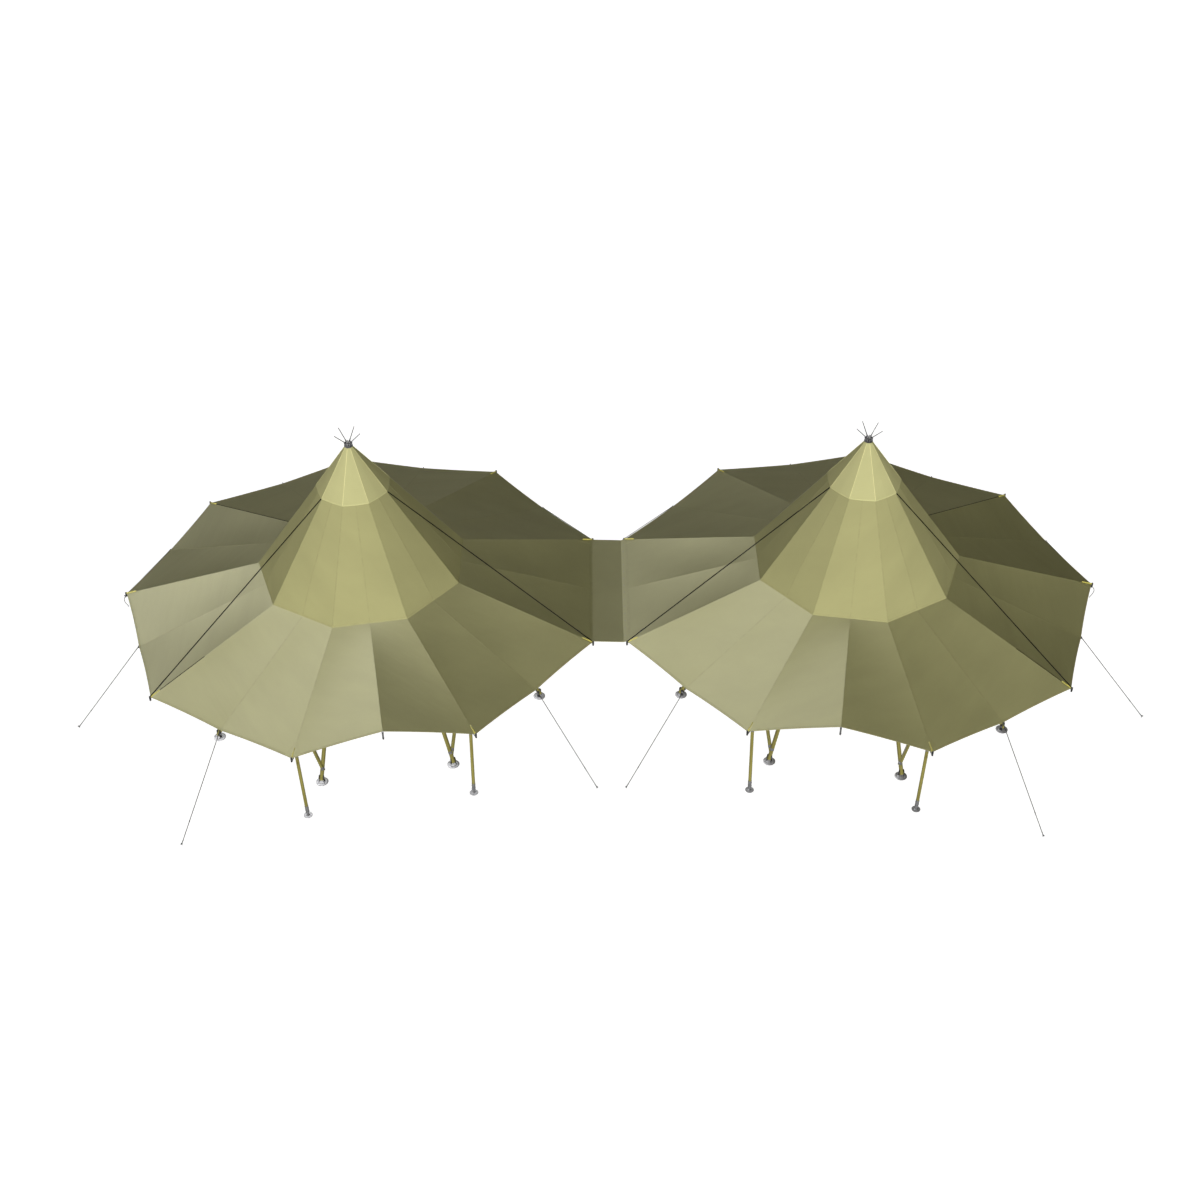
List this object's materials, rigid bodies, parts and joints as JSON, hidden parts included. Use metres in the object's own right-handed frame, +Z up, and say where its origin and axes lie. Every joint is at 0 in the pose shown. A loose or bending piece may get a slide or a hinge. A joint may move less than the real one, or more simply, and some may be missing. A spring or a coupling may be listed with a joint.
{
  "type": "twin pole tent",
  "caption": "Open-sided tipi tents on leaning pole frames, joined at the eave by a short canopy, with foot plates and guy lines.",
  "frame": {"origin": "the middle of the whole on the ground, between the two tents", "axes": "+X from the left tent to the right one, +Y to the back, +Z up"},
  "size_m": [24.0122, 12.701, 6.3206],
  "materials": {
    "canvas": "matt olive canvas",
    "cap_canvas": "matt pale olive canvas",
    "wood": "oiled round timber",
    "steel": "dull grey",
    "rope": "pale grey cord",
    "strap": "black woven webbing"
  },
  "bodies": {
    "root": {"left_cap": "cap_canvas", "left_cone": "canvas", "left_crown": "steel", "left_guy_line_1": "rope", "left_guy_line_3": "rope", "left_guy_line_4": "rope", "left_guy_line_5": "rope", "left_guy_line_6": "rope", "left_guy_line_7": "rope", "left_guy_line_8": "rope", "left_main_pole_1": "wood", "left_main_pole_2": "wood", "left_main_pole_3": "wood", "left_main_pole_4": "wood", "left_main_pole_5": "wood", "left_main_pole_6": "wood", "left_main_pole_7": "wood", "left_main_pole_8": "wood", "left_main_pole_9": "wood", "left_side_pole_2": "wood", "left_side_pole_3": "wood", "left_side_pole_5": "wood", "left_side_pole_6": "wood", "left_side_pole_8": "wood", "left_side_pole_9": "wood", "left_skirt": "canvas", "left_storm_strap_1": "strap", "left_storm_strap_4": "strap", "left_storm_strap_7": "strap", "link_canopy": "canvas", "right_cap": "cap_canvas", "right_cone": "canvas", "right_crown": "steel", "right_guy_line_1": "rope", "right_guy_line_3": "rope", "right_guy_line_4": "rope", "right_guy_line_5": "rope", "right_guy_line_6": "rope", "right_guy_line_7": "rope", "right_guy_line_8": "rope", "right_main_pole_1": "wood", "right_main_pole_2": "wood", "right_main_pole_3": "wood", "right_main_pole_4": "wood", "right_main_pole_5": "wood", "right_main_pole_6": "wood", "right_main_pole_7": "wood", "right_main_pole_8": "wood", "right_main_pole_9": "wood", "right_side_pole_2": "wood", "right_side_pole_3": "wood", "right_side_pole_5": "wood", "right_side_pole_6": "wood", "right_side_pole_8": "wood", "right_side_pole_9": "wood", "right_skirt": "canvas", "right_storm_strap_1": "strap", "right_storm_strap_4": "strap", "right_storm_strap_7": "strap"}
  },
  "joints": []
}
